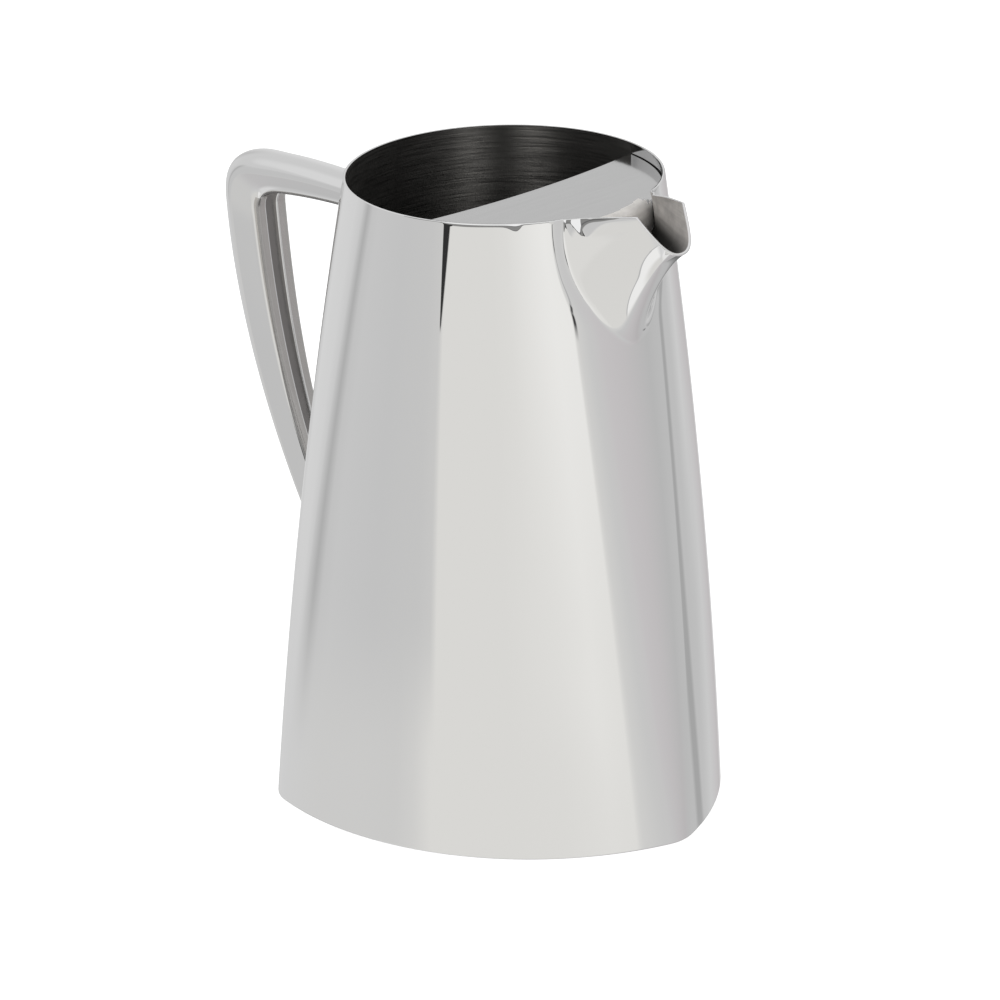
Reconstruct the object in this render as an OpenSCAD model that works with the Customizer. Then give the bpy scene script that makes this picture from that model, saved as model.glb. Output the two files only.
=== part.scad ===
// Water pitcher with an ice guard, in sheet steel.
// The wall runs from a round rim down to a triangular foot with rounded corners and gently curved sides.
// Origin: where the rim's axis meets the resting plane. +Z up, spout along +X, handle along -X.

/* [Body] */
// Height of the rim above the resting plane
rim_height = 205; // [200:1:210]
// Outside radius of the round rim
rim_radius = 50.2; // [49.6:0.1:50.8]
// Foot outline: distance from its centre to each rounded corner
corner_reach = 78.2; // [77.6:0.1:78.8]
// Foot outline: distance from its centre to the middle of each side
side_reach = 67.2; // [66.8:0.1:67.6]
// Foot outline: radius of each rounded corner
corner_radius = 14.7; // [13.5:0.1:16]
// How far the foot's centre lies behind the rim's axis
foot_setback = 1.4; // [0:0.1:2]
// How far the wall bulges outwards at half height
barrel = 2.4; // [1.5:0.1:3]
// Thickness of the body, spout and base sheet
sheet = 1; // [0.8:0.1:1.2]
// Height of the softened edge round the foot
foot_edge = 0.6; // [0.4:0.1:1]
// Height of the underside of the base plate
base_recess = 2.5; // [2:0.5:5]

/* [Spout] */
// Half the opening's width at the rim, as an angle round the wall
mouth_angle = 22.5; // [21.5:0.1:24]
// Height of the lowest point of the opening in the wall
mouth_bottom = 162; // [160:1:166]
// Distance from the axis to the spout's two upper tips
tip_reach = 68.2; // [66:0.1:70]
// How far the upper tips stand above the rim
tip_rise = 3.3; // [2:0.1:4]
// Half the distance between the upper tips
tip_half_width = 10.4; // [9:0.1:11]
// Length of the sloping lip from the tips to its lowest point
lip_drop = 15.1; // [13:0.1:16]
// Slope of the lip below the horizontal
lip_slope = 52.7; // [48:0.1:56]

/* [Ice guard] */
// Depth of the guard plate below the rim
guard_depth = 3.9; // [3:0.1:6]
// Distance of the middle of the plate's free edge in front of the axis
guard_edge = 10.5; // [8:0.5:14]
// Radius of the gentle curve of the plate's free edge
guard_bow = 310; // [250:10:400]
// Height of the flange that turns down behind the spout
guard_flange = 10; // [6:0.5:12]
// Thickness of the guard sheet
guard_sheet = 0.8; // [0.6:0.1:1]

/* [Handle] */
// Width across the handle's back where it is broadest, below the corner
grip_width = 18.5; // [17:0.5:19.5]
// Thickness of the handle sheet
handle_sheet = 1.2; // [1:0.1:1.4]

/* [Hidden] */

steel = [0.80, 0.80, 0.81];
brushed = [0.62, 0.61, 0.60];
gap = 0.02;        // room left between pieces that are welded face to face
flange_lap = 3;    // degrees by which the flange passes behind each side of the mouth
flange_corner = 3; // radius of the flange's lower corners
columns = 72;      // facets round the wall
mouth_rows = 12;   // wall rows beside the mouth, and spout columns on each side
lower_rows = 12;   // wall rows below the mouth
spout_rows = 12;   // rows from the wall to the lip
step = 0.001;      // step for the numerical tangents of the spout

corner_centre = corner_reach - corner_radius;
side_radius = (pow(side_reach, 2) + pow(corner_centre, 2) - side_reach * corner_centre
    - pow(corner_radius, 2)) / (2 * side_reach - 2 * corner_radius - corner_centre);
side_centre = side_radius - side_reach;
// Angle from a corner's middle to where its arc passes into the side's arc
junction = atan2(side_centre * sin(60), corner_centre + side_centre * cos(60));

// The mouth's edge from the rim to its lowest point, as [angle round the wall, height]
mouth_edge = [[mouth_angle, rim_height], [mouth_angle + 6, rim_height - 21],
    [mouth_angle / 2, mouth_bottom], [0, mouth_bottom]];
// Half the lip, from an upper tip to the middle, as [half width, distance down the slope]
lip_edge = [[tip_half_width, 0], [tip_half_width - 3.2, 10], [5.6, lip_drop], [0, lip_drop]];
root_pull = [0.5, 9, 20];        // how long the spout hugs the wall: at the rim, just below it, at the keel
rim_share = 0.15;                // share of the root over which the pull rises beside the rim
tip_heading = [0.95, 0.31, 0.08];
keel_heading = [0.84, 0, 0.54];

// Handle: the inner and the outer edge lines of its sides, in the X-Z plane, as three joined curves
inner_line = [
    [[-50, 178], [-67.5, 178.6], [-87, 178], [-104, 175.4]],
    [[-104, 175.4], [-110.2, 174.5], [-113, 172.6], [-112.5, 167.5]],
    [[-112.5, 167.5], [-109, 130.5], [-100.9, 82.2], [-64, 35]]];
outer_line = [
    [[-49, 184.8], [-74.7, 185.9], [-90.3, 185.6], [-106.5, 183.4]],
    [[-106.5, 183.4], [-115.1, 182.2], [-123.5, 182.3], [-122.5, 169.7]],
    [[-122.5, 169.7], [-118.6, 119.9], [-102.9, 73.6], [-65, 23]]];
// Along the three curves: back width, gap between the side edges, and height of the crowned back
back_widths = [13.4, grip_width - 2.3, grip_width, 12];
slot_widths = [9, 12, 14, 7];
groove_share = 0.16;             // half the groove between the lips, as a share of that gap
crowns = [2, 4.3, 7.8, 2.4];
arm_steps = 8;
bend_steps = 8;
limb_steps = 22;
back_steps = 10;   // facets across the crowned back

function unit(angle) = [cos(angle), sin(angle)];
function blend(from, to, t) = from + (to - from) * t;
function ease(t) = t * t * (3 - 2 * t);
function unit_vector(v) = v / norm(v);
function bezier(p, t) = pow(1 - t, 3) * p[0] + 3 * t * pow(1 - t, 2) * p[1]
    + 3 * t * t * (1 - t) * p[2] + pow(t, 3) * p[3];
function quad(a, b, c, d) = [[a, b, c], [a, c, d]];
function join_lists(lists) = [for (list = lists) for (item = list) item];

// ---- Wall surface ----

// Point of the foot outline whose outward normal has the given angle
function foot_point(angle) =
    let (corner = 120 * round(angle / 120), side = 60 + 120 * floor(angle / 120))
    [-foot_setback, 0] + (abs(angle - corner) <= junction
        ? corner_centre * unit(corner) + corner_radius * unit(angle)
        : side_radius * unit(angle) - side_centre * unit(side));

// Point of the wall at a height, inset along its normal in plan
function wall_point(angle, z, inset = 0) =
    let (s = 1 - z / rim_height,
        p = (1 - s) * rim_radius * unit(angle) + s * foot_point(angle)
            + (4 * s * (1 - s) * barrel - inset) * unit(angle))
    [p.x, p.y, z];

// X of the wall's back, which the handle is welded to
function back_wall_x(y, z) =
    let (s = 1 - z / rim_height,
        r = (1 - s) * rim_radius + s * side_radius + 4 * s * (1 - s) * barrel)
    s * (side_centre - foot_setback) - sqrt(r * r - y * y);

// ---- Body wall: rows of points from the rim down, open at the mouth ----

// Each row is [half angle of the mouth, height, inset of the outside at the softened foot]
wall_rows = concat(
    [for (i = [0 : mouth_rows]) let (e = bezier(mouth_edge, i / mouth_rows)) [e.x, e.y, 0]],
    [for (i = [1 : lower_rows]) [0, blend(mouth_bottom, foot_edge, i / lower_rows), 0]],
    [[0, 0, foot_edge]]);

module body_wall() {
    last = len(wall_rows) - 1;
    function start(i) = i * columns + min(i, mouth_rows);
    function at(i, j) = start(i) + (i < mouth_rows ? j : j % columns);
    skin = start(last + 1);
    function skin_points(inset, foot) = [for (i = [0 : last])
        for (j = [0 : i < mouth_rows ? columns : columns - 1])
            let (row = wall_rows[i], angle = blend(row[0], 360 - row[0], j / columns))
            wall_point(angle, row[1], inset + foot * row[2])];
    outside = join_lists([for (i = [0 : last - 1]) for (j = [0 : columns - 1])
        quad(at(i, j), at(i, j + 1), at(i + 1, j + 1), at(i + 1, j))]);
    inside = [for (f = outside) [f[2] + skin, f[1] + skin, f[0] + skin]];
    rim = join_lists([for (j = [0 : columns - 1])
        quad(at(0, j) + skin, at(0, j + 1) + skin, at(0, j + 1), at(0, j))]);
    foot = join_lists([for (j = [0 : columns - 1])
        quad(at(last, j), at(last, j + 1), at(last, j + 1) + skin, at(last, j) + skin)]);
    mouth = join_lists([for (i = [0 : mouth_rows - 1]) concat(
        quad(at(i, 0) + skin, at(i, 0), at(i + 1, 0), at(i + 1, 0) + skin),
        quad(at(i, columns), at(i, columns) + skin,
            at(i + 1, columns) + skin, at(i + 1, columns)))]);
    color(steel)
        polyhedron(concat(skin_points(0, 1), skin_points(sheet, 0)),
            concat(outside, inside, rim, foot, mouth));
}

// ---- Base plate: a shallow pan inside the foot, its flange flush with the wall's lower edge ----

module foot_area(z, inset) {
    polygon([for (j = [0 : columns - 1]) let (p = wall_point(360 * j / columns, z, inset)) [p.x, p.y]]);
}

module base_plate() {
    top = base_recess + sheet;
    color(brushed) difference() {
        linear_extrude(top) foot_area(top, sheet + gap);
        translate([0, 0, -sheet]) linear_extrude(base_recess + sheet) foot_area(top, 2 * sheet + gap);
    }
}

// ---- Spout: a lofted beak from the mouth's edge to the lip ----

// c runs from 0 at one side of the rim, through 1 at the keel, to 2 at the other side
function fold(c) = c <= 1 ? c : 2 - c;
function side_of(c) = c <= 1 ? 1 : -1;
function root_point(c) = let (e = bezier(mouth_edge, fold(c))) wall_point(side_of(c) * e.x, e.y);
function lip_point(c) =
    let (e = bezier(lip_edge, fold(c)))
    [tip_reach + e.y * cos(lip_slope), side_of(c) * e.x, rim_height + tip_rise - e.y * sin(lip_slope)];

// Direction along the wall, square to the mouth's edge and pointing into the mouth
function root_heading(c) =
    let (e = bezier(mouth_edge, fold(c)), angle = side_of(c) * e.x,
        normal = cross(wall_point(angle + step, e.y) - wall_point(angle - step, e.y),
            wall_point(angle, e.y + step) - wall_point(angle, e.y - step)))
    unit_vector(cross(root_point(min(2, c + step)) - root_point(max(0, c - step)), normal));

function lip_heading(c) =
    let (tip = [tip_heading.x, -side_of(c) * tip_heading.y, tip_heading.z])
    unit_vector(blend(tip, keel_heading, ease(fold(c))));

function pull(f) = blend(root_pull[0], root_pull[1], ease(min(1, f / rim_share)))
    + (root_pull[2] - root_pull[1]) * ease(f);

function spout_point(c, s) =
    let (root = root_point(c), lip = lip_point(c),
        root_tangent = root_heading(c) * pull(fold(c)),
        lip_tangent = lip_heading(c) * 0.9 * norm(lip - root))
    (2 * pow(s, 3) - 3 * s * s + 1) * root + (pow(s, 3) - 2 * s * s + s) * root_tangent
        + (3 * s * s - 2 * pow(s, 3)) * lip + (pow(s, 3) - s * s) * lip_tangent;

function spout_normal(c, s) =
    unit_vector(cross(
        spout_point(c, min(1, s + step)) - spout_point(c, max(0, s - step)),
        spout_point(min(2, c + step), s) - spout_point(max(0, c - step), s)));

// Inner skin: at the wall it meets the wall's own inner skin, elsewhere it follows the normal
function spout_inner(c, s) =
    let (e = bezier(mouth_edge, fold(c)))
    s == 0 ? wall_point(side_of(c) * e.x, e.y, sheet) : spout_point(c, s) - sheet * spout_normal(c, s);

module spout() {
    across = 2 * mouth_rows;
    function at(i, j) = i * (across + 1) + j;
    skin = at(spout_rows + 1, 0);
    spots = [for (i = [0 : spout_rows]) for (j = [0 : across]) [j / mouth_rows, i / spout_rows]];
    outside = join_lists([for (i = [0 : spout_rows - 1]) for (j = [0 : across - 1])
        quad(at(i, j), at(i, j + 1), at(i + 1, j + 1), at(i + 1, j))]);
    inside = [for (f = outside) [f[2] + skin, f[1] + skin, f[0] + skin]];
    ends = join_lists([for (j = [0 : across - 1]) concat(
        quad(at(0, j) + skin, at(0, j + 1) + skin, at(0, j + 1), at(0, j)),
        quad(at(spout_rows, j), at(spout_rows, j + 1),
            at(spout_rows, j + 1) + skin, at(spout_rows, j) + skin))]);
    edges = join_lists([for (i = [0 : spout_rows - 1]) concat(
        quad(at(i, 0) + skin, at(i, 0), at(i + 1, 0), at(i + 1, 0) + skin),
        quad(at(i, across), at(i, across) + skin, at(i + 1, across) + skin, at(i + 1, across)))]);
    color(steel)
        polyhedron(concat([for (p = spots) spout_point(p.x, p.y)], [for (p = spots) spout_inner(p.x, p.y)]),
            concat(outside, inside, ends, edges));
}

// ---- Ice guard: a level plate over the spout side, with a flange turned down behind the spout ----

// Outline of the flange seen from the front: its lower corners are rounded
module flange_area(half_width, corner) {
    translate([-half_width, corner]) square([2 * half_width, guard_flange - corner]);
    translate([corner - half_width, 0]) square([2 * (half_width - corner), guard_flange]);
    for (y = [corner - half_width, half_width - corner])
        translate([y, corner]) circle(corner, $fn = 48);
}

module ice_guard() {
    top = rim_height - guard_depth;
    reach = rim_radius - sheet + 0.1;
    color(brushed) {
        translate([0, 0, top - guard_sheet]) linear_extrude(guard_sheet)
            difference() {
                circle(reach, $fn = 180);
                translate([guard_edge - guard_bow, 0]) circle(guard_bow, $fn = 720);
            }
        intersection() {
            translate([0, 0, top - guard_flange]) difference() {
                cylinder(h = guard_flange, r = reach, $fn = 180);
                translate([0, 0, -1]) cylinder(h = guard_flange + 2, r = reach - guard_sheet, $fn = 180);
            }
            translate([0, 0, top - guard_flange]) rotate([90, 0, 90])
                linear_extrude(rim_radius) flange_area(reach * sin(mouth_angle + flange_lap), flange_corner);
        }
    }
}

// ---- Handle: a pressed channel with a crowned back and rolled-in lips, closed by a liner strip ----

handle_steps = arm_steps + bend_steps + limb_steps;
// Parameter 0..3 along the three curves for each step
function handle_u(i) = i <= arm_steps ? i / arm_steps
    : i <= arm_steps + bend_steps ? 1 + (i - arm_steps) / bend_steps
    : 2 + (i - arm_steps - bend_steps) / limb_steps;
function part_of(u) = min(2, floor(u));
function on_line(line, u) = bezier(line[part_of(u)], u - part_of(u));
function taper(values, u) = blend(values[part_of(u)], values[part_of(u) + 1], u - part_of(u));

// A point of the handle's section: y across, out measured outwards from the inner edge line
function handle_point(u, y, out) =
    let (inner = on_line(inner_line, u), outer = on_line(outer_line, u),
        p = inner + unit_vector(outer - inner) * out)
    [p.x, y, p.y];

// Slides a point along the handle's direction until it touches the back wall
function to_wall(p, heading, rounds = 5) = rounds == 0 ? p
    : to_wall(p + heading * (back_wall_x(p.y, p.z) - gap - p.x) / heading.x, heading, rounds - 1);
function end_heading(u) =
    let (near = u < 1 ? 0.01 : 2.99, d = on_line(inner_line, u) - on_line(inner_line, near))
    [d.x, 0, d.y];
function seated(p, u) = u == 0 || u == 3 ? to_wall(p, end_heading(u)) : p;

// Section of the shell, from one lip over the back to the other; depth is 0 outside, 1 inside
function shell_profile(u, depth) =
    let (t = depth * handle_sheet, side = norm(on_line(outer_line, u) - on_line(inner_line, u)),
        back = taper(back_widths, u) / 2 - t, slot = taper(slot_widths, u) / 2 - t,
        crown = taper(crowns, u) - t / 2, lip = taper(slot_widths, u) * groove_share,
        half = [[lip, t], [slot - 0.35, t], [slot + 0.1, t + 0.4], [blend(slot, back, 0.5), side / 2]])
    concat([for (p = half) [-p.x, p.y]],
        [for (k = [0 : back_steps]) let (a = -90 + 180 * k / back_steps)
            [back * sin(a), side + crown * cos(a)]],
        [for (k = [len(half) - 1 : -1 : 0]) half[k]]);

module handle_shell() {
    around = back_steps + 8;
    function at(i, j) = i * (around + 1) + j;
    skin = at(handle_steps + 1, 0);
    function skin_points(depth) = [for (i = [0 : handle_steps])
        let (u = handle_u(i)) for (p = shell_profile(u, depth)) seated(handle_point(u, p.x, p.y), u)];
    outside = join_lists([for (i = [0 : handle_steps - 1]) for (j = [0 : around - 1])
        quad(at(i, j), at(i + 1, j), at(i + 1, j + 1), at(i, j + 1))]);
    inside = [for (f = outside) [f[2] + skin, f[1] + skin, f[0] + skin]];
    ends = join_lists([for (j = [0 : around - 1]) concat(
        quad(at(0, j), at(0, j + 1), at(0, j + 1) + skin, at(0, j) + skin),
        quad(at(handle_steps, j) + skin, at(handle_steps, j + 1) + skin,
            at(handle_steps, j + 1), at(handle_steps, j)))]);
    lips = join_lists([for (i = [0 : handle_steps - 1]) concat(
        quad(at(i, 0) + skin, at(i + 1, 0) + skin, at(i + 1, 0), at(i, 0)),
        quad(at(i, around), at(i + 1, around), at(i + 1, around) + skin, at(i, around) + skin))]);
    color(steel) polyhedron(concat(skin_points(0), skin_points(1)), concat(outside, inside, ends, lips));
}

module handle_liner() {
    function ring(u) =
        let (half = taper(slot_widths, u) * groove_share + 0.8, low = handle_sheet + gap, high = low + 1)
        [for (p = [[-half, low], [half, low], [half, high], [-half, high]])
            seated(handle_point(u, p.x, p.y), u)];
    last = 4 * handle_steps;
    sides = join_lists([for (i = [0 : handle_steps - 1]) for (k = [0 : 3])
        quad(4 * i + k, 4 * i + (k + 1) % 4, 4 * i + 4 + (k + 1) % 4, 4 * i + 4 + k)]);
    ends = concat(quad(3, 2, 1, 0), quad(last, last + 1, last + 2, last + 3));
    color(brushed) polyhedron([for (i = [0 : handle_steps]) for (p = ring(handle_u(i))) p],
        concat(sides, ends));
}

body_wall();
base_plate();
spout();
ice_guard();
handle_shell();
handle_liner();
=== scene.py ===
import math

import bpy
import numpy as np
from mathutils import Matrix, Vector

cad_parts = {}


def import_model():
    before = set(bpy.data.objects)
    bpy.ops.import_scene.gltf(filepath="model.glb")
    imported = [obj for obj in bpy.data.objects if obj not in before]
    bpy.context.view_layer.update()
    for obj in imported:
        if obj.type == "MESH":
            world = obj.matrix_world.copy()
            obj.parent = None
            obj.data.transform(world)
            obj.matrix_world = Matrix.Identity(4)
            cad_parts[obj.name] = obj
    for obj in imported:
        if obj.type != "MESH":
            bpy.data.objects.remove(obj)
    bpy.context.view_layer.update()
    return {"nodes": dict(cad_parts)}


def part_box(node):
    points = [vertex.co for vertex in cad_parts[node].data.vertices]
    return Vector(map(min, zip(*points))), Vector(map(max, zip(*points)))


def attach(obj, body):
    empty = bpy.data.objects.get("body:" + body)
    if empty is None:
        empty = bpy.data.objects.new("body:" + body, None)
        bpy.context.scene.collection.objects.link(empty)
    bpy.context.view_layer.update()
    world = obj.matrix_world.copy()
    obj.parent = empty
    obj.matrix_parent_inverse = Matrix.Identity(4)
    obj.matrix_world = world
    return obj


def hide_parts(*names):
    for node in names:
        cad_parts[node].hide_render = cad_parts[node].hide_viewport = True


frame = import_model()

# ---------------------------------------------------------------------------
# Shape of the pitcher, in millimetres and degrees, as in part.scad. The rim's
# height is read from the frame.
# ---------------------------------------------------------------------------
RIM_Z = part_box("body_wall")[1].z * 1000
RIM_R = 50.2
CORNER_REACH, SIDE_REACH, CORNER_R = 78.2, 67.2, 14.7
SETBACK, BARREL, SHEET = 1.4, 2.4, 1.0
FOOT_EDGE = 0.6
MOUTH_ANGLE, MOUTH_BOTTOM = 22.5, 162.0
TIP_REACH, TIP_RISE, TIP_HALF = 68.2, 3.3, 10.4
LIP_DROP, LIP_SLOPE = 15.1, math.radians(52.7)
GUARD_DEPTH, GUARD_EDGE, GUARD_BOW, GUARD_FLANGE, GUARD_SHEET = 3.9, 10.5, 310.0, 10.0, 0.8
FLANGE_LAP, FLANGE_CORNER = 3.0, 3.0   # how far the flange passes behind the mouth's sides; its lower corners
GUARD_END = 82.3                       # angle at which the plate's free edge meets the wall
# The spout leaves its root along the heading there: this strongly everywhere, beside the rim and at the keel
ROOT_PULL, ROOT_PULL_RIM, ROOT_PULL_KEEL, RIM_SHARE = 0.5, 8.5, 11.0, 0.15
TIP_HEADING, KEEL_HEADING, LIP_PULL = (0.95, -0.31, 0.08), (0.84, 0, 0.54), 0.9

# ---------------------------------------------------------------------------
# Finish that welding and polishing leave, which only the visual model has
# ---------------------------------------------------------------------------
# A shallow valley along the spout's root: depth, half width, and heights where it begins and is full
VALLEY, VALLEY_HALF, VALLEY_FROM, VALLEY_FULL = 0.35, 2.9, 167.0, 187.0
# The wall's rim leans in over a small height, with faint waves round it
RIM_SLOPE, RIM_DEPTH, RIM_WAVE, RIM_WAVES, RIM_LEAST = 0.2, 1.1, 0.1, 19, 0.2
DIP_ANGLE, DIP_DEPTH, DIP_BEFORE, DIP_AFTER = 39.7, 1.9, 1.6, 2.5   # leans in more, at this angle each side
CALM_FROM, CALM_TO, CALM_FADE, CALM_DEPTH = 27.0, 38.5, 1.5, 0.8    # leans in less, beside the spout
BACK_FROM, BACK_FADE, BACK_DEPTH = 63.0, 4.0, 0.8                   # leans in less, round the back
# The spout's upper edges fold in: slope, softness, depth, and how much deeper at a share of their length
FOLD_SLOPE, FOLD_SOFT, FOLD_DEPTH, FOLD_MORE = 0.24, 0.4, 0.8, 4.9
FOLD_AT, FOLD_BEFORE, FOLD_AFTER = 0.35, 0.09, 0.18
FOLD_START, FOLD_END, SPOUT_ROLL = 0.12, 0.3, 1.2   # towards the root and the lip a plain roll takes over
# The bend between the guard's plate and flange: reach in and down, and where it runs out beside the mouth
BEND_IN, BEND_DOWN, BEND_FADE = 5.0, 7.0, 1.5
WALL_ROUND, SPOUT_ROUND, GUARD_ROUND = 0.12, 0.2, 0.25   # how far the sheets' edges bulge

CORNER_CENTRE = CORNER_REACH - CORNER_R
SIDE_R = (SIDE_REACH ** 2 + CORNER_CENTRE ** 2 - SIDE_REACH * CORNER_CENTRE - CORNER_R ** 2) / (
    2 * SIDE_REACH - 2 * CORNER_R - CORNER_CENTRE)
SIDE_CENTRE = SIDE_R - SIDE_REACH
JUNCTION = math.degrees(math.atan2(SIDE_CENTRE * math.sin(math.radians(60)),
                                   CORNER_CENTRE + SIDE_CENTRE * 0.5))


def bezier(p, t):
    p = np.asarray(p, float)
    t = np.asarray(t, float)[..., None]
    return (1 - t) ** 3 * p[0] + 3 * t * (1 - t) ** 2 * p[1] + 3 * t * t * (1 - t) * p[2] + t ** 3 * p[3]


def ease(t):
    return t * t * (3 - 2 * t)


def hermite(t, start, leave, end, arrive):
    """Curve from start to end with these slopes there."""
    return ((2 * t ** 3 - 3 * t * t + 1) * start + (t ** 3 - 2 * t * t + t) * leave
            + (3 * t * t - 2 * t ** 3) * end + (t ** 3 - t * t) * arrive)


def unit(v):
    return v / np.maximum(np.linalg.norm(v, axis=-1, keepdims=True), 1e-12)


def gradual(value, start, length):
    """0 before start, 1 a length after it, and smooth between."""
    return ease(np.clip((value - start) / length, 0, 1))


def bump_at(value, middle, before, after):
    """1 at the middle, falling off with its own width on each side."""
    return np.exp(-((value - middle) / np.where(value < middle, before, after)) ** 2)


def wall(angle, z, inset=0.0):
    """Points of the wall's outside at angles in degrees and heights; inset moves them inwards."""
    angle, z, inset = np.broadcast_arrays(*(np.asarray(x, float) for x in (angle, z, inset)))
    a = np.radians(angle)
    n = np.stack([np.cos(a), np.sin(a)], -1)
    corner = np.radians(120 * np.round(angle / 120))
    side = np.radians(60 + 120 * np.floor(angle / 120))
    at_corner = (np.abs(angle - np.degrees(corner)) <= JUNCTION)[..., None]
    foot = np.where(at_corner,
                    CORNER_CENTRE * np.stack([np.cos(corner), np.sin(corner)], -1) + CORNER_R * n,
                    SIDE_R * n - SIDE_CENTRE * np.stack([np.cos(side), np.sin(side)], -1))
    foot = foot - np.array([SETBACK, 0])
    s = (1 - z / RIM_Z)[..., None]
    p = (1 - s) * RIM_R * n + s * foot + (4 * s * (1 - s) * BARREL - inset[..., None]) * n
    return np.concatenate([p, z[..., None]], -1)


def wall_frame(angle, z):
    """Outward normal of the wall and the direction up along it."""
    around = wall(np.asarray(angle) + 0.02, z) - wall(np.asarray(angle) - 0.02, z)
    up = wall(angle, np.asarray(z) + 0.02) - wall(angle, np.asarray(z) - 0.02)
    n = unit(np.cross(around, up))
    return n, unit(np.cross(n, unit(around)))


# One side of the mouth (angle, height) and of the lip (half width, distance down the slope), as Bezier curves
MOUTH = [[MOUTH_ANGLE, RIM_Z], [MOUTH_ANGLE + 6, RIM_Z - 21],
         [MOUTH_ANGLE / 2, MOUTH_BOTTOM], [0, MOUTH_BOTTOM]]
LIP_EDGE = [[TIP_HALF, 0], [TIP_HALF - 3.2, 10], [5.6, LIP_DROP], [0, LIP_DROP]]
EDGE = bezier(MOUTH, np.linspace(0, 1, 2000))[::-1]
EDGE_SLOPE = np.gradient(EDGE[:, 0], EDGE[:, 1])


def valley(d, z):
    """Depth of the valley at distance d from the spout's root."""
    return VALLEY * gradual(z, VALLEY_FROM, VALLEY_FULL - VALLEY_FROM) * np.exp(-(d / VALLEY_HALF) ** 2)


def roll(d, depth, slope):
    """How far the surface leans in at distance d below an upper edge."""
    return slope * depth / 3 * np.clip(1 - d / depth, 0, 1) ** 3


def fold_in(d, depth, slope):
    """How far the surface leans in at distance d below an upper edge that is folded in, nearly flat."""
    x = depth - d
    return slope * (x + np.sqrt(x * x + FOLD_SOFT ** 2)) / 2


def wall_finish(angle, z):
    """The wall's outside with the valley and the rim that leans in."""
    angle, z = np.broadcast_arrays(np.asarray(angle, float), np.asarray(z, float))
    half = np.minimum(angle, 360 - angle)   # degrees from the spout's middle
    turn = np.radians(np.interp(z, EDGE[:, 1], EDGE_SLOPE)) * RIM_R
    d = np.radians(half - np.interp(z, EDGE[:, 1], EDGE[:, 0])) * RIM_R / np.sqrt(1 + turn ** 2)
    calm = gradual(half, CALM_FROM, CALM_FADE) * gradual(-half, -CALM_TO, CALM_FADE)
    depth = (RIM_DEPTH + RIM_WAVE * np.cos(RIM_WAVES * np.radians(angle))
             + DIP_DEPTH * bump_at(half, DIP_ANGLE, DIP_BEFORE, DIP_AFTER) - CALM_DEPTH * calm
             - BACK_DEPTH * np.clip((half - BACK_FROM) / BACK_FADE, 0, 1))
    return wall(angle, z, valley(np.abs(d), z) + roll(RIM_Z - z, np.maximum(depth, RIM_LEAST), RIM_SLOPE))


def normals_of(surface, a, b, da, db, a_range, b_range):
    """Normals of surface(a, b) by differences that stay inside its ranges."""
    pa = surface(np.minimum(a + da, a_range[1]), b) - surface(np.maximum(a - da, a_range[0]), b)
    pb = surface(a, np.minimum(b + db, b_range[1])) - surface(a, np.maximum(b - db, b_range[0]))
    return unit(np.cross(pa, pb))


def root(c):
    """Angle and height of the spout's root; c runs from one side (0) over the keel (1) to the other (2)."""
    e = bezier(MOUTH, np.where(c <= 1, c, 2 - c))
    return np.where(c <= 1, 1, -1) * e[..., 0], e[..., 1]


def spout(c, s):
    """Outside of the spout; s runs from the root (0) to the lip (1)."""
    c, s = np.broadcast_arrays(np.asarray(c, float), np.asarray(s, float))
    fold, sign = np.where(c <= 1, c, 2 - c), np.where(c <= 1, 1.0, -1.0)
    angle, z = root(c)
    base = wall(angle, z)
    e = bezier(LIP_EDGE, fold)
    lip = np.stack([TIP_REACH + e[..., 1] * math.cos(LIP_SLOPE), sign * e[..., 0],
                    RIM_Z + TIP_RISE - e[..., 1] * math.sin(LIP_SLOPE)], -1)
    a0, z0 = root(np.maximum(c - 0.001, 0))
    a1, z1 = root(np.minimum(c + 0.001, 2))
    heading = unit(np.cross(wall(a1, z1) - wall(a0, z0), wall_frame(angle, z)[0]))
    w = ease(fold)[..., None]
    beside_rim = ease(np.minimum(1, fold / RIM_SHARE))[..., None]
    t0 = heading * (ROOT_PULL + ROOT_PULL_RIM * beside_rim + ROOT_PULL_KEEL * w)
    tip = np.array(TIP_HEADING) * np.stack([0 * c + 1, sign, 0 * c + 1], -1)
    t1 = unit(tip * (1 - w) + np.array(KEEL_HEADING) * w) * LIP_PULL
    t1 = t1 * np.linalg.norm(lip - base, axis=-1, keepdims=True)
    return hermite(s[..., None], base, t0, lip, t1)


def spout_finish(c, s, inset=0.0):
    """The spout's outside with the valley and the folded edges, or its inside at an inset."""
    c, s = np.broadcast_arrays(np.asarray(c, float), np.asarray(s, float))
    p = spout(c, s)
    d = np.linalg.norm(p - spout(c, 0 * s), axis=-1)
    edge = spout(np.where(c <= 1, 0.0, 2.0), s)
    below = np.linalg.norm(p - edge, axis=-1)
    depth = FOLD_DEPTH + FOLD_MORE * bump_at(s, FOLD_AT, FOLD_BEFORE, FOLD_AFTER)
    ds = unit(spout(c, np.minimum(s + 1e-3, 1)) - spout(c, np.maximum(s - 1e-3, 0)))
    dc = unit(spout(np.minimum(c + 1e-3, 2), s) - spout(np.maximum(c - 1e-3, 0), s))
    n = unit(np.cross(ds, dc))
    n = np.where((s < 1e-6)[..., None], wall_frame(*root(c))[0], n)
    fade = gradual(s, 0, FOLD_START) * gradual(1 - s, 0, FOLD_END)
    lean = fold_in(below, depth, FOLD_SLOPE) * fade + roll(below, SPOUT_ROLL, RIM_SLOPE) * (1 - fade)
    hollow = valley(d, p[..., 2]) if inset == 0 else 0 * s
    return p - n * (hollow + lean + inset)[..., None]


# ---------------------------------------------------------------------------
# Mesh building: grids of points with their own normals, in millimetres
# ---------------------------------------------------------------------------
WELD = 1e-7   # m, the grid on which points that round alike are one


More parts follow.
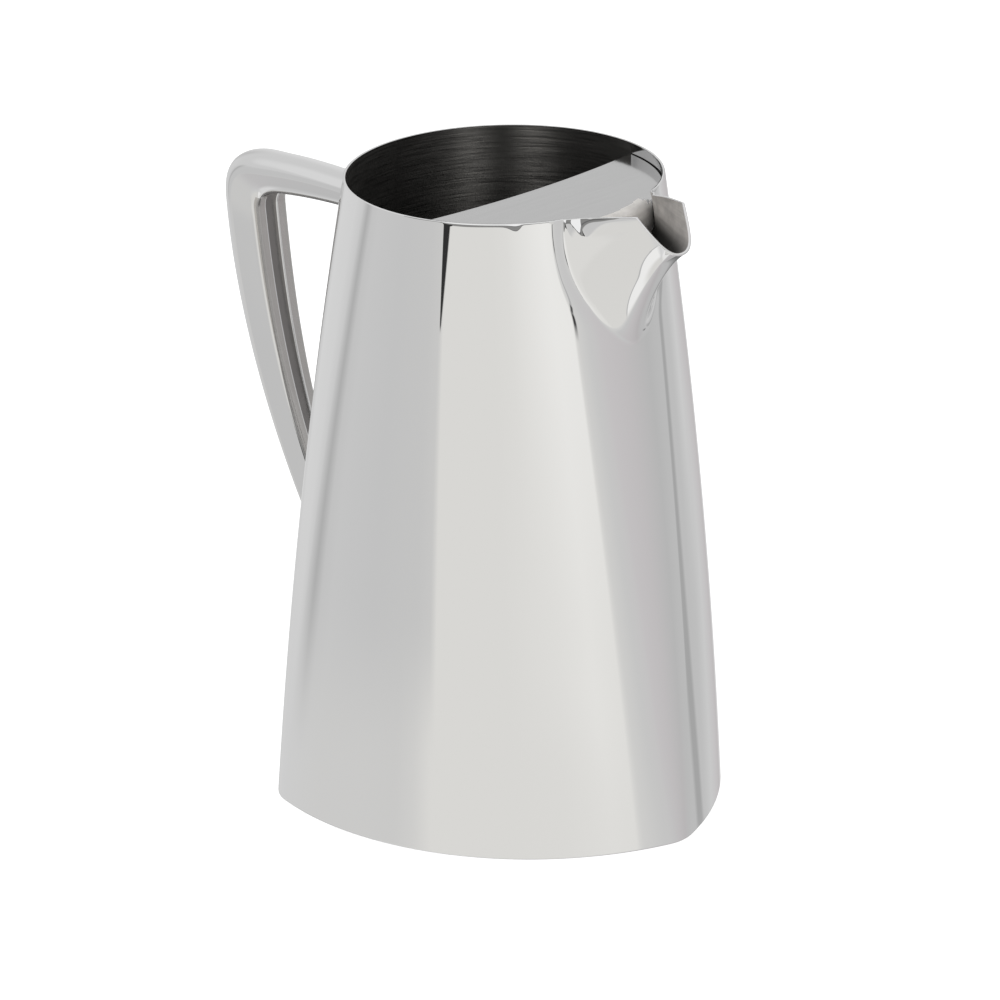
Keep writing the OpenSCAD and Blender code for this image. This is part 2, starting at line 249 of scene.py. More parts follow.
class Skin:
    def __init__(self):
        self.v, self.n, self.f, self.m = [], [], [], []
        self.count = 0

    def grid(self, points, normals, material=0, wrap=False):
        """Faces between points[i][j], turned so that they look along the normals."""
        points = np.asarray(points, float)
        rows, cols = points.shape[:2]
        base = self.count
        self.v.append(points.reshape(-1, 3))
        self.n.append(np.asarray(normals).reshape(-1, 3))
        self.count += rows * cols
        last = cols if wrap else cols - 1
        i, j = np.meshgrid(np.arange(rows - 1), np.arange(last), indexing="ij")
        k = (j + 1) % cols
        here, beyond = i * cols, (i + 1) * cols
        quad = np.stack([here + j, here + k, beyond + k, beyond + j], -1).reshape(-1, 4)
        flat, fn = points.reshape(-1, 3), np.asarray(normals).reshape(-1, 3)
        face_n = np.cross(flat[quad[:, 2]] - flat[quad[:, 0]], flat[quad[:, 3]] - flat[quad[:, 1]])
        if (face_n * fn[quad].mean(1)).sum() < 0:
            quad = quad[:, ::-1]
        self.f.append(quad + base)
        self.m.append(np.full(len(quad), material))

    def build(self, name, materials):
        v, n = np.concatenate(self.v) * 0.001, unit(np.concatenate(self.n))
        f, m = np.concatenate(self.f), np.concatenate(self.m)
        # grids that meet share their points, but each face keeps its own normals
        _, first, same = np.unique(np.round(v / WELD).astype(np.int64), axis=0, return_index=True,
                                   return_inverse=True)
        same = same.ravel().tolist()
        faces, corners, slots = [], [], []
        for quad, slot in zip(f.tolist(), m.tolist()):
            kept = [k for i, k in enumerate(quad) if same[k] != same[quad[i - 1]]]
            face = [same[k] for k in kept]
            if len(set(face)) == len(face) > 2:
                faces.append(face)
                corners += kept
                slots.append(slot)
        mesh = bpy.data.meshes.new(name)
        mesh.from_pydata(v[first].tolist(), [], faces)
        mesh.polygons.foreach_set("material_index", np.array(slots, np.int32))
        mesh.polygons.foreach_set("use_smooth", np.ones(len(faces), bool))
        for material in materials:
            mesh.materials.append(material)
        mesh.update()
        mesh.normals_split_custom_set(n[corners].tolist())
        obj = bpy.data.objects.new(name, mesh)
        bpy.context.scene.collection.objects.link(obj)
        return obj


def edge_strip(outer, inner, normal, outward, bulge, segments=6):
    """Half-round edge between two parallel lines of points."""
    a = np.linspace(0, math.pi, segments + 1)[:, None, None]
    mid, half = (outer + inner) / 2, (outer - inner) / 2
    return mid + half * np.cos(a) + outward * bulge * np.sin(a), normal * np.cos(a) + outward * np.sin(a)


# ---------------------------------------------------------------------------
# Materials
# ---------------------------------------------------------------------------
def new_material(name, color, rough):
    mat = bpy.data.materials.new(name)
    mat.use_nodes = True
    tree = mat.node_tree
    shader = tree.nodes["Principled BSDF"]
    shader.inputs["Base Color"].default_value = (*color, 1)
    shader.inputs["Metallic"].default_value = 1
    shader.inputs["Roughness"].default_value = rough
    return mat, tree, shader


def node(tree, kind, **values):
    n = tree.nodes.new(kind)
    for key, value in values.items():
        n.inputs[key].default_value = value
    return n


def math_node(tree, op, *values):
    n = tree.nodes.new("ShaderNodeMath")
    n.operation = op
    for i, x in enumerate(values):
        if isinstance(x, (int, float)):
            n.inputs[i].default_value = x
        else:
            tree.links.new(x, n.inputs[i])
    return n.outputs[0]


def map_range(tree, value, lo, hi, to_lo, to_hi, smooth=False):
    n = tree.nodes.new("ShaderNodeMapRange")
    n.interpolation_type = "SMOOTHSTEP" if smooth else "LINEAR"
    n.clamp = True
    tree.links.new(value, n.inputs[0])
    for i, x in enumerate((lo, hi, to_lo, to_hi)):
        n.inputs[i + 1].default_value = x
    return n.outputs[0]


def color_ramp(tree, turn, stops, kind):
    """Colours by place round the pitcher, given as a share of a turn; stops are (degrees, colour)."""
    n = tree.nodes.new("ShaderNodeValToRGB")
    n.color_ramp.interpolation = kind
    tree.links.new(turn, n.inputs[0])
    elements = n.color_ramp.elements
    for k, (degrees, color) in enumerate(stops):
        e = elements[k] if k < 2 else elements.new(1.0)
        e.position = degrees / 360 + 0.5
        e.color = color
    return n.outputs[0]


def share_of_turn(tree, angle):
    return math_node(tree, "MULTIPLY_ADD", angle, 1 / (2 * math.pi), 0.5)


def polished_steel(name, value):
    """Mirror finish with faint, softly varying haze."""
    clear, usual, hazy = 0.01, 0.015, 0.028
    mat, tree, shader = new_material(name, (value, value, value), usual)
    coord = tree.nodes.new("ShaderNodeTexCoord")
    haze = node(tree, "ShaderNodeTexNoise", Scale=22.0, Detail=3.0)
    tree.links.new(coord.outputs["Object"], haze.inputs["Vector"])
    tree.links.new(map_range(tree, haze.outputs["Fac"], 0.35, 0.7, clear, hazy), shader.inputs["Roughness"])
    return mat


def brushed_steel(name, color, rough, lines, depth, metallic=1.0, patches=0.0, painted_light_bands=None, straight=False,
                  grazing=1.0, contrast=0.12, shade=None):
    """Brush lines run round the pitcher: noise stretched along the angle and tight in height.

    lines is how closely they lie and depth how strongly they stand out; patches darkens the metal
    in soft cloudy patches; the bands are a list of (degrees, share of the colour) that paint the
    metal dark, as shade, with broad upright painted highlights; straight turns the lines along Y; grazing
    is the tint of the metal seen edge on; contrast is that of the lines; shade is (height, height, share)
    between which the colour is painted darker downwards, as shade.
    """
    mat, tree, shader = new_material(name, color, rough)
    shader.inputs["Metallic"].default_value = metallic
    coord = tree.nodes.new("ShaderNodeTexCoord")
    xyz = tree.nodes.new("ShaderNodeSeparateXYZ")
    tree.links.new(coord.outputs["Object"], xyz.inputs[0])
    angle = math_node(tree, "ARCTAN2", xyz.outputs[1], xyz.outputs[0])
    shader.inputs["Specular Tint"].default_value = (grazing, grazing, grazing, 1)
    stretched = tree.nodes.new("ShaderNodeCombineXYZ")
    if straight:
        axes = [(xyz.outputs[1], 25.0), (xyz.outputs[0], lines)]
    else:
        axes = [(math_node(tree, "COSINE", angle), 3.0), (math_node(tree, "SINE", angle), 3.0),
                (xyz.outputs[2], lines)]
    for socket, (value, scale) in zip(stretched.inputs, axes):
        tree.links.new(math_node(tree, "MULTIPLY", value, scale), socket)
    grain = node(tree, "ShaderNodeTexNoise", Scale=1.0, Detail=4.0, Roughness=0.65)
    tree.links.new(stretched.outputs[0], grain.inputs["Vector"])
    uneven = map_range(tree, grain.outputs["Fac"], 0.3, 0.7,
                       rough * (1 - contrast), rough * (1 + 1.5 * contrast))
    tree.links.new(uneven, shader.inputs["Roughness"])
    bump = node(tree, "ShaderNodeBump", Strength=depth, Distance=0.0002)
    tree.links.new(grain.outputs["Fac"], bump.inputs["Height"])
    tree.links.new(bump.outputs[0], shader.inputs["Normal"])
    share = map_range(tree, grain.outputs["Fac"], 0.3, 0.7, 1 - contrast, 1 + contrast)
    if patches:
        cloud = node(tree, "ShaderNodeTexNoise", Scale=180.0, Detail=4.0, Roughness=0.6)
        tree.links.new(coord.outputs["Object"], cloud.inputs["Vector"])
        kept = map_range(tree, cloud.outputs["Fac"], 0.35, 0.65, 1 - patches, 1)
        share = math_node(tree, "MULTIPLY", share, kept)
    # painted shade: the colour turns darker downwards between the two heights
    if shade:
        low, high, painted_shade_share = shade
        share = math_node(tree, "MULTIPLY", share, map_range(tree, xyz.outputs[2], low, high, painted_shade_share, 1, True))
    # painted highlights and shade: colour by angle round the inside, dark for its shade and bright in upright
    # bands where overhead light would glint
    if painted_light_bands:
        stops = [(degrees, (value, value, value, 1)) for degrees, value in painted_light_bands]
        painted_highlights_and_shade = color_ramp(tree, share_of_turn(tree, angle), stops, "B_SPLINE")
        share = math_node(tree, "MULTIPLY", share, painted_highlights_and_shade)
    paint = tree.nodes.new("ShaderNodeVectorMath")
    paint.operation = "SCALE"
    paint.inputs[0].default_value = color
    tree.links.new(share, paint.inputs["Scale"])
    tree.links.new(paint.outputs[0], shader.inputs["Base Color"])
    return mat


POLISHED = polished_steel("polished_steel", 0.9)
# the handle's steel is a little darker than the body's: painted shade, for the darker surroundings its sides
# mirror
HANDLE_STEEL = polished_steel("polished_handle", 0.85)
# the inside's colour paints shade: dark round most of the turn, with painted highlights as upright bands near
# 125 and 149 degrees
INSIDE = brushed_steel("brushed_inside", (0.82, 0.8, 0.765), 0.6, 2400.0, 0.2, grazing=0.3, contrast=0.24,
                       painted_light_bands=[(-180, 0.11), (88, 0.25), (104, 0.17), (116, 0.2), (125, 1.0), (132, 0.45),
                              (137, 0.25), (142, 0.45), (149, 0.95), (156, 0.35), (166, 0.17), (180, 0.11)])
# its colour is painted darker towards the bottom of the spout, as shade
SPOUT_INSIDE = brushed_steel("satin_spout_inside", (0.74, 0.71, 0.68), 0.6, 700.0, 0.15, metallic=0.45,
                             patches=0.2, shade=(0.194, 0.2015, 0.05))
FLANGE = brushed_steel("satin_flange", (0.92, 0.89, 0.855), 0.45, 700.0, 0.08, metallic=0.25, patches=0.12)
SATIN = brushed_steel("satin_guard", (0.63, 0.63, 0.63), 0.12, 500.0, 0.008, straight=True, contrast=0.025)
LIP = brushed_steel("satin_handle_lips", (0.58, 0.565, 0.55), 0.22, 60.0, 0.02, contrast=0.04)
# the liner's dark colour is painted shade, for the shade in the handle's groove
LINER = brushed_steel("liner_painted_shade", (0.27, 0.26, 0.255), 0.3, 60.0, 0.02, contrast=0.05)


# ---------------------------------------------------------------------------
# Body wall
# ---------------------------------------------------------------------------
COLUMNS, MOUTH_ROWS, LOWER_ROWS, FOOT_ROWS = 420, 90, 80, 6
CROWDING = 0.11   # how much closer the columns lie beside the mouth


def body_wall():
    skin = Skin()
    # round the pitcher from one side of the mouth to the other, above the mouth's lowest point
    edge = bezier(MOUTH, np.linspace(0, 1, MOUTH_ROWS + 1) ** 1.5)
    share = np.linspace(0, 1, COLUMNS + 1)[None, :]
    share = share - CROWDING * np.sin(2 * math.pi * share)
    angle = edge[:, :1] + (360 - 2 * edge[:, :1]) * share
    height = np.repeat(edge[:, 1:], COLUMNS + 1, 1)
    up = wall_frame(angle, height)[1]
    outer, inner = wall_finish(angle, height), wall(angle, height, SHEET)
    n = normals_of(wall_finish, angle, height, 0.02, 0.02, (0, 360), (0, RIM_Z))
    skin.grid(outer, n)
    skin.grid(inner, -n, 1)
    # above the ice guard the inside is as smooth as the guard
    above_guard = (height > RIM_Z - GUARD_DEPTH - 0.5) & (np.minimum(angle, 360 - angle) < GUARD_END)
    skin.m[-1] = np.where(above_guard[1:, 1:], 2, 1).ravel()
    strip, strip_n = edge_strip(outer[0], inner[0], n[0], up[0], WALL_ROUND)
    skin.grid(strip, strip_n)
    # all the way round below that point
    height = np.repeat(np.linspace(MOUTH_BOTTOM, FOOT_EDGE, LOWER_ROWS + 1)[:, None], COLUMNS, 1)
    angle = np.repeat(angle[-1:, :-1], LOWER_ROWS + 1, 0)
    n, up = wall_frame(angle, height)
    below, below_in = wall(angle, height), wall(angle, height, SHEET)
    below[0], below_in[0] = outer[-1, :-1], inner[-1, :-1]
    skin.grid(below, n, wrap=True)
    skin.grid(below_in, -n, 1, wrap=True)
    # rounded lower edge, the ring it stands on, and the inside's last stretch
    foot_n, foot_up, round_foot = n[-1], up[-1], angle[0]
    quarter = np.linspace(0, math.pi / 2, FOOT_ROWS + 1)
    pts = np.array([wall(round_foot, FOOT_EDGE * (1 - math.sin(a)), FOOT_EDGE * (1 - math.cos(a)))
                    for a in quarter])
    nrm = np.array([foot_n * math.cos(a) - foot_up * math.sin(a) for a in quarter])
    skin.grid(pts, nrm, wrap=True)
    ring = ((0, FOOT_EDGE), (0, SHEET), (FOOT_EDGE, SHEET))
    flat = np.array([wall(round_foot, z, inset) for z, inset in ring])
    skin.grid(flat[:2], np.broadcast_to([0, 0, -1.0], flat[:2].shape), wrap=True)
    skin.grid(flat[1:], np.broadcast_to(-foot_n, flat[1:].shape), wrap=True)
    obj = skin.build("body_wall_skin", [POLISHED, INSIDE, SATIN])
    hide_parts("body_wall")
    return obj


# ---------------------------------------------------------------------------
# Spout
# ---------------------------------------------------------------------------
SPOUT_ACROSS, SPOUT_ALONG = 240, 120
SPOUT_CROWDING = 0.22 / math.pi   # how much closer the lines lie beside the keel


def spout_skin():
    skin = Skin()
    across, along = SPOUT_ACROSS, SPOUT_ALONG
    c = np.linspace(0, 2, across + 1)[None, :]
    c = c + SPOUT_CROWDING * np.sin(math.pi * c)
    s = np.linspace(0, 1, along + 1)[:, None] ** 1.4   # closer rows beside the root
    outer = spout_finish(c, s)
    n = -normals_of(spout_finish, c, s, 1e-3, 1e-3, (0, 2), (1e-4, 1))
    inner = spout_finish(c, s, SHEET)
    a, z = root(c[0])
    inner[0] = wall(a, z, SHEET)
    skin.grid(outer, n)
    skin.grid(inner, -n, 1)
    # one rounded edge runs up one side, along the lip and down the other side
    path = [(i, 0) for i in range(along + 1)] + [(along, j) for j in range(1, across + 1)] + [
        (i, across) for i in range(along - 1, -1, -1)]
    i, j = np.array(path).T
    o, m, nn = outer[i, j], inner[i, j], n[i, j]
    out = unit(np.cross(unit(np.gradient(o, axis=0)), nn))
    strip, strip_n = edge_strip(o, m, nn, out, SPOUT_ROUND)
    skin.grid(strip, strip_n)
    obj = skin.build("spout_skin", [POLISHED, SPOUT_INSIDE])
    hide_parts("spout")
    return obj


# ---------------------------------------------------------------------------
# Ice guard: level plate, bent down behind the spout into a flange
# ---------------------------------------------------------------------------
GUARD_COLUMNS, GUARD_ROWS, FLANGE_COLUMNS, FLANGE_ROWS = 180, 60, 60, 12
IN_SHEET = 0.1    # how far the guard's rim reaches into the wall's sheet


def ice_guard():
    skin = Skin()
    top = RIM_Z - GUARD_DEPTH
    thick = np.array([0, 0, GUARD_SHEET])
    reach = RIM_R - SHEET + IN_SHEET
    middle = GUARD_EDGE - GUARD_BOW
    half = math.acos((reach ** 2 + middle ** 2 - GUARD_BOW ** 2) / (2 * reach * middle))
    a = np.linspace(-half, half, GUARD_COLUMNS + 1)
    x, y = reach * np.cos(a), reach * np.sin(a)
    rim = np.stack([x, y, 0 * a + top], -1)
    chord = np.stack([middle + np.sqrt(GUARD_BOW ** 2 - y ** 2), y, 0 * a + top], -1)
    width = math.radians(MOUTH_ANGLE + FLANGE_LAP)

    def bent(angle):
        return ease(np.clip((width - np.abs(angle)) / math.radians(BEND_FADE), 0, 1))

    t = 1 - (1 - np.linspace(0, 1, GUARD_ROWS + 1)[:, None, None]) ** 2.2   # closer rows towards the bend
    plate = chord + (rim - chord) * t
    around = np.arctan2(plate[..., 1], plate[..., 0])
    # into is how far a point lies into the bend, a quarter of an ellipse: 0 at its start, 1 at the flange
    into = np.clip((np.hypot(plate[..., 0], plate[..., 1]) - reach + BEND_IN) / BEND_IN, 0, 1)
    plate[..., 2] -= BEND_DOWN * bent(around) * (1 - np.sqrt(1 - into * into))
    outward = bent(around) * into * BEND_DOWN
    upward = np.sqrt(1 - into * into) * BEND_IN + 1e-6
    up = unit(np.stack([outward * np.cos(around), outward * np.sin(around), upward], -1))
    in_bend = np.where((into > 0) & (np.abs(around) < width), 1, 0)[1:, 1:].ravel()
    for points, normals in ((plate, up), (plate - up * GUARD_SHEET, -up)):
        skin.grid(points, normals)
        skin.m[-1] = in_bend
    strip, strip_n = edge_strip(chord, chord - thick, np.broadcast_to([0, 0, 1.0], chord.shape),
                                np.broadcast_to([-1.0, 0, 0], chord.shape), GUARD_ROUND)
    skin.grid(strip, strip_n)
    for part in (a < -width, a > width):
        rim_out = np.stack([np.cos(a), np.sin(a), 0 * a], -1)[part]
        skin.grid(np.array([rim[part], rim[part] - thick]), np.array([rim_out, rim_out]))
    # the flange, from where the bend ends down to its edge with rounded corners
    f = np.linspace(-width, width, FLANGE_COLUMNS + 1)   # angles across the flange
    start = BEND_DOWN * bent(f)
    drop = np.full(len(f), GUARD_FLANGE)
    aside = reach * np.sin(f[-1]) - np.abs(reach * np.sin(f))
    corner = aside < FLANGE_CORNER
    drop[corner] -= FLANGE_CORNER - np.sqrt(FLANGE_CORNER ** 2 - (FLANGE_CORNER - aside[corner]) ** 2)
    share = np.linspace(0, 1, FLANGE_ROWS + 1)[:, None]
    lowest = []
    for r, sign in ((reach, 1), (reach - GUARD_SHEET, -1)):
        z = top - start - (drop - start) * share
        pts = np.stack(np.broadcast_arrays(r * np.cos(f), r * np.sin(f), z), -1)
        nrm = np.broadcast_to(sign * np.stack([np.cos(f), np.sin(f), 0 * f], -1), pts.shape)
        skin.grid(pts, nrm, 1)
        lowest.append(pts[-1])
    skin.grid(np.array(lowest), np.broadcast_to([0, 0, -1.0], np.shape(lowest)))
    obj = skin.build("ice_guard_skin", [SATIN, FLANGE])
    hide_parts("ice_guard")
    return obj


# ---------------------------------------------------------------------------
# Handle
# ---------------------------------------------------------------------------
# The handle's inner and outer lines as Bezier curves (x, z): arm, corner and post. Lists of four hold the
# values where the arm begins, at the corner's two ends, and where the post ends.
INNER = [[[-50, 178], [-67.5, 178.6], [-87, 178], [-104, 175.4]],
         [[-104, 175.4], [-110.2, 174.5], [-113, 172.6], [-112.5, 167.5]],
         [[-112.5, 167.5], [-109, 130.5], [-100.9, 82.2], [-64, 35]]]
OUTER = [[[-49, 184.8], [-74.7, 185.9], [-90.3, 185.6], [-106.5, 183.4]],
         [[-106.5, 183.4], [-115.1, 182.2], [-123.5, 182.3], [-122.5, 169.7]],
         [[-122.5, 169.7], [-118.6, 119.9], [-102.9, 73.6], [-65, 23]]]
BACK_W, SLOT_W, CROWN = [13.4, 16.2, 18.5, 12], [9, 12, 14, 7], [2, 4.3, 7.8, 2.4]
BEVEL = [7.5, 6.5, 3, 2.6]      # rounding between the lips and the sides
CREASE = [1.2, 1.1, 0.3, 0.2]   # how far below the back's edge the sides begin
GROOVE = 0.16                   # half the groove's width, as a share of the slot's
GROOVE_DEPTH, LINER_DEPTH, LINER_LAP = 1.6, 1.5, 0.1
LIP_ROUND, BACK_ROUND = 0.7, 0.8                # radii of the lips' inner edge and of the back's edge
ARCH_FROM, ARCH_POINTS = 6, 22                  # the back's arch, from this angle in degrees to its middle
FLATS, FLAT_END, FLAT_POINTS = (9, 18), 0.04, 6   # points that begin a flat stretch, which gets more points
LIP_FROM, LIP_TO_ARM, LIP_TO_POST = 9, 20, 23   # strips of the section that are the satin lip
LIP_CHANGE = 1.6     # place along the handle where the lip goes from the arm's width to the post's
SEAT_ROWS = 16       # rows at each end that are drawn to the middle of the wall's sheet
POLISH_REACH = 5.0   # length along the handle over which the polish evens out its shading
LINER_POINTS = 7
HANDLE_ROWS = (48, 48, 120)   # on the arm, the corner and the post
HANDLE_U = np.concatenate([np.linspace(k, k + 1, rows, endpoint=False)
                           for k, rows in enumerate(HANDLE_ROWS)] + [[3]])


def on_line(line, u):
    """Points of a line; the whole part of u is the curve and the rest the place on it."""
    k = np.minimum(u.astype(int), 2)
    return bezier(np.moveaxis(np.array(line, float)[k], 1, 0), u - k)


def taper(values, u):
    """Smooth curve through the four values."""
    v = np.array(values, float)
    slope = np.gradient(v)
    k = np.minimum(u.astype(int), 2)
    return hermite(u - k, v[k], slope[k], v[k + 1], slope[k + 1])


def round_corners(points, corners, steps=8):
    """Polyline with its first corners replaced by curves; each corner is (radius, largest share
    of the stretch before it, largest share of the stretch after it)."""
    p = [np.array(q, float) for q in points]
    out = [p[0]]
    for k, (r, before, after) in enumerate(corners, 1):
        a, b = unit(p[k - 1] - p[k]), unit(p[k + 1] - p[k])
        reach = r / math.tan(math.acos(float(a @ b)) / 2)
        start = p[k] + a * min(reach, before * np.linalg.norm(p[k - 1] - p[k]))
        end = p[k] + b * min(reach, after * np.linalg.norm(p[k + 1] - p[k]))
        for i in range(steps + 1):
            w = i / steps
            out.append((1 - w) ** 2 * start + 2 * w * (1 - w) * p[k] + w * w * end)
    return np.array(out + p[len(corners) + 1:])


def refine(points, flats):
    """Adds points on the flats, given by where they start: close to their ends and evenly between."""
    out = []
    for k, p in enumerate(points):
        out.append(p)
        if k in flats:
            step = points[k + 1] - p
            near = FLAT_END / np.linalg.norm(step)
            out.extend(p + step * t for t in [near, *np.linspace(0, 1, FLAT_POINTS + 2)[1:-1], 1 - near])
    return np.array(out)


def handle_section(back, slot, crown, side, bevel, crease):
    """Half outline (y, out) from the groove over the lip and the side to the middle of the back."""
    groove, half_back, half_slot = slot * GROOVE, back / 2, slot / 2
    arch = [[half_back * math.cos(t), side + crown * math.sin(t)]
            for t in np.radians(np.linspace(ARCH_FROM, 90, ARCH_POINTS))]
    pts = [[groove - 0.2, GROOVE_DEPTH], [groove, 0.05], [half_slot, 0], [half_back - 0.05, side - crease]]
    corners = [(LIP_ROUND, 0.4, 0.2), (bevel, 0.76, 0.72), (BACK_ROUND, 0.3, 0.25)]
    return refine(round_corners(pts + arch, corners), FLATS)


def inside_wall(p):
    """How far points of the handle are past the middle of the wall's sheet, along X."""
    rough_radius, step, rounds = 60, 0.1, 6   # of the wall, in mm; in degrees; of Newton's method
    angle = 180 - np.degrees(np.arcsin(np.clip(p[..., 1] / rough_radius, -1, 1)))
    for _ in range(rounds):   # the angle at which the wall is as far aside as the point
        here, there = wall(angle, p[..., 2]), wall(angle + step, p[..., 2])
        angle = angle + (p[..., 1] - here[..., 1]) * step / (there[..., 1] - here[..., 1])
    return p[..., 0] - wall(angle, p[..., 2])[..., 0] - SHEET / 2


def seated(grid):
    """Ends every line along the handle in the wall, by drawing its last stretches shorter."""
    out = grid.copy()
    rows = np.arange(SEAT_ROWS + 1)
    for g, o in ((grid, out), (grid[::-1], out[::-1])):
        over = inside_wall(g[:SEAT_ROWS + 1])
        for j in range(g.shape[1]):
            start = np.interp(0, -over[:, j], rows)
            at = start + (SEAT_ROWS - start) * rows / SEAT_ROWS
            for k in range(3):
                o[:SEAT_ROWS + 1, j, k] = np.interp(at, rows, g[:SEAT_ROWS + 1, j, k])
    return out


def sweep(sections):
    """Places half outlines, mirrored to whole ones, along the handle."""
    u = HANDLE_U
    inner, outer = on_line(INNER, u), on_line(OUTER, u)
    out = unit(outer - inner)
    grid = []
    for k in range(len(u)):
        half = sections[k]
        whole = np.concatenate([half * [-1, 1], half[-2::-1]])
        p = inner[k] + out[k] * whole[:, 1:]
        grid.append(np.stack([p[:, 0], whole[:, 0], p[:, 1]], -1))
    return seated(np.array(grid))


def swept_normals(points):
    return unit(np.cross(np.gradient(points, axis=1), np.gradient(points, axis=0)))


def handle():
    u = HANDLE_U
    side = np.linalg.norm(on_line(OUTER, u) - on_line(INNER, u), axis=-1)
    back, slot, crown, bevel, crease = [taper(v, u) for v in (BACK_W, SLOT_W, CROWN, BEVEL, CREASE)]
    pts = sweep([handle_section(*v) for v in zip(back, slot, crown, side, bevel, crease)])
    middle = pts.shape[1] // 2
    # polishing leaves the corner without a fold: the normals are evened out along the handle
    step = np.linalg.norm(np.diff(pts[:, middle], axis=0) + np.diff(pts[:, 0], axis=0), axis=-1) / 2
    length = np.concatenate([[0], np.cumsum(step)])
    even = np.exp(-((length[:, None] - length[None, :]) / POLISH_REACH) ** 2)
    shell = Skin()
    shell.grid(pts, np.einsum("ij,jkl->ikl", even / even.sum(1, keepdims=True), swept_normals(pts)))
    # faces between the groove and the bevel of each lip are satin
    column = np.arange(pts.shape[1] - 1)
    column = np.minimum(column, pts.shape[1] - 2 - column)
    lip = (column >= LIP_FROM) & (column < np.where(u[:-1, None] < LIP_CHANGE, LIP_TO_ARM, LIP_TO_POST))
    shell.m[0] = np.where(lip, 1, 0).ravel()
    obj = shell.build("handle_shell_skin", [HANDLE_STEEL, LIP])
    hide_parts("handle_shell")
    liner = Skin()
    y = 1 - np.linspace(0, 1, LINER_POINTS)
    pts = sweep([np.stack([y * (w * GROOVE + LINER_LAP), LINER_DEPTH + 0 * y], -1) for w in slot])
    liner.grid(pts, -swept_normals(pts))
    strip = liner.build("handle_liner_skin", [LINER])
    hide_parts("handle_liner")
    return obj, strip


pieces = [body_wall(), spout_skin(), ice_guard(), *handle()]
for piece in pieces:
    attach(piece, "root")
base = frame["nodes"]["base_plate"]
base.data.materials.clear()
base.data.materials.append(INSIDE)

# ---------------------------------------------------------------------------
# Studio: pale floor, soft panels all round as the world, camera
#
# The steel mirrors its surroundings, so the world stands for them. Its places are in degrees: round the
# pitcher from the camera's direction, and up from level. Tones are on a screen's scale of 0 to 255.
# ---------------------------------------------------------------------------
scene = bpy.context.scene
scene.view_settings.view_transform = "Standard"
scene.view_settings.look = "None"

FACING = math.radians(-43.2)   # direction from the pitcher to the camera, in plan
STEEL = 0.9                    # share of the light that polished steel gives back


def tone(value, warm=0.0):
    """Tone to linear light, as it is seen in steel; warm shifts it to cream, below 0 to mauve."""
    shift = np.array([0, 0.4, 1.6]) * warm if warm > 0 else np.array([-0.3, 2.6, 1.6]) * -warm
    rgb = (value - shift) / 255
    lin = np.where(rgb <= 0.04045, rgb / 12.92, ((rgb + 0.055) / 1.055) ** 2.4)
    return tuple(float(x) for x in lin / STEEL) + (1.0,)


# Panels round the pitcher as (degrees round, tone, warmth): level with the pitcher, below its foot, and
# under the table's edge
HIGH = [(-180, 215, 0), (-166, 188, 0), (-150, 208, 0), (-126, 207, 0), (-116, 200, 0), (-109.5, 172, 0),
        (-104, 193, 0), (-97, 196, 0), (-72, 193, 0), (-50, 195, 0.5), (-42.6, 199, 1), (-41.6, 216, 2.5),
        (-10, 216, 2.5), (12, 221, 2.5), (26, 226, 2.5), (37, 222, 2.5), (38.4, 206, 1.5), (45, 197, 0.5),
        (54, 194, -1), (72, 190, -1), (98, 181, 0), (110, 185, 0), (130, 188, 0), (140, 201, 0),
        (152, 190, -1), (163, 181, -1), (170, 205, 0), (180, 215, 0)]
LOW = [(-180, 215, 0), (-160, 200, 0), (-150, 204, 0), (-120, 204, 0), (-95, 202, 1), (-75, 202, 1),
       (-58, 201, 1), (-50, 206, 1.5), (-43, 216, 2.5), (-10, 216, 2.5), (10, 217, 2.5), (28, 221, 2.5),
       (37, 219, 2.5), (38.4, 206, 1.5), (48, 196, 0.5), (60, 193, 0), (76, 190, -1), (94, 184, -1),
       (110, 184, 0), (128, 186, 0), (136, 188, 0), (146, 198, 0), (158, 190, -1), (164, 183, -1),
       (170, 210, 0), (180, 215, 0)]
UNDER = [(-180, 95, 0), (-158, 95, 0), (-150, 140, 0), (-144, 210, 0), (-128, 206, 0), (-117, 187, 0),
         (-88, 192, -0.5), (-70, 204, 0), (-60, 211, 2.5), (36.8, 213, 2.5), (38.8, 205, 1), (45, 193, 0),
         (60, 190, -1), (100, 179, -1), (130, 183, 0), (148, 180, 0), (165, 115, 0), (180, 105, 0)]

NEAR_LEFT, NEAR_RIGHT = -42.5, 37       # sides of the near panel, which is behind the camera
BROW_TILT, BROW = 0.043, -1.6           # its upper edge: slope and height
ROOM_HEIGHT, ROOM, ROOM_SIDE, ROOM_LINE = 12.0, 134, 130, 100   # the room above it, and its lines
BESIDE_LEFT, BESIDE_LOW, BESIDE_HIGH = -74, 1.5, 33             # the room to its left
GAP_LOW, GAP_HIGH, GAP_OPENING, GAP_WIDTH = -8.2, 1, 1.35, 6.6  # the gap at its left side, wider upwards
CABLE_TURN, CABLE_AT, CABLE_LEAN = -4.3, 38.3, 1.5              # the cable at its right side, bent at a rise
STAND_AT, STAND_LEVEL, STAND_CURVE = 120, -13, 0.1              # the bent dark stand at the right
TABLE_HIGH, TABLE_LOW = -25, -31        # between which the table's edge lies
BRINK_AT, BRINK_ROUND, BRINK_TILT, BRINK = -12, 150.0, 0.3, -69.0   # the bright strip's edge, a hyperbola


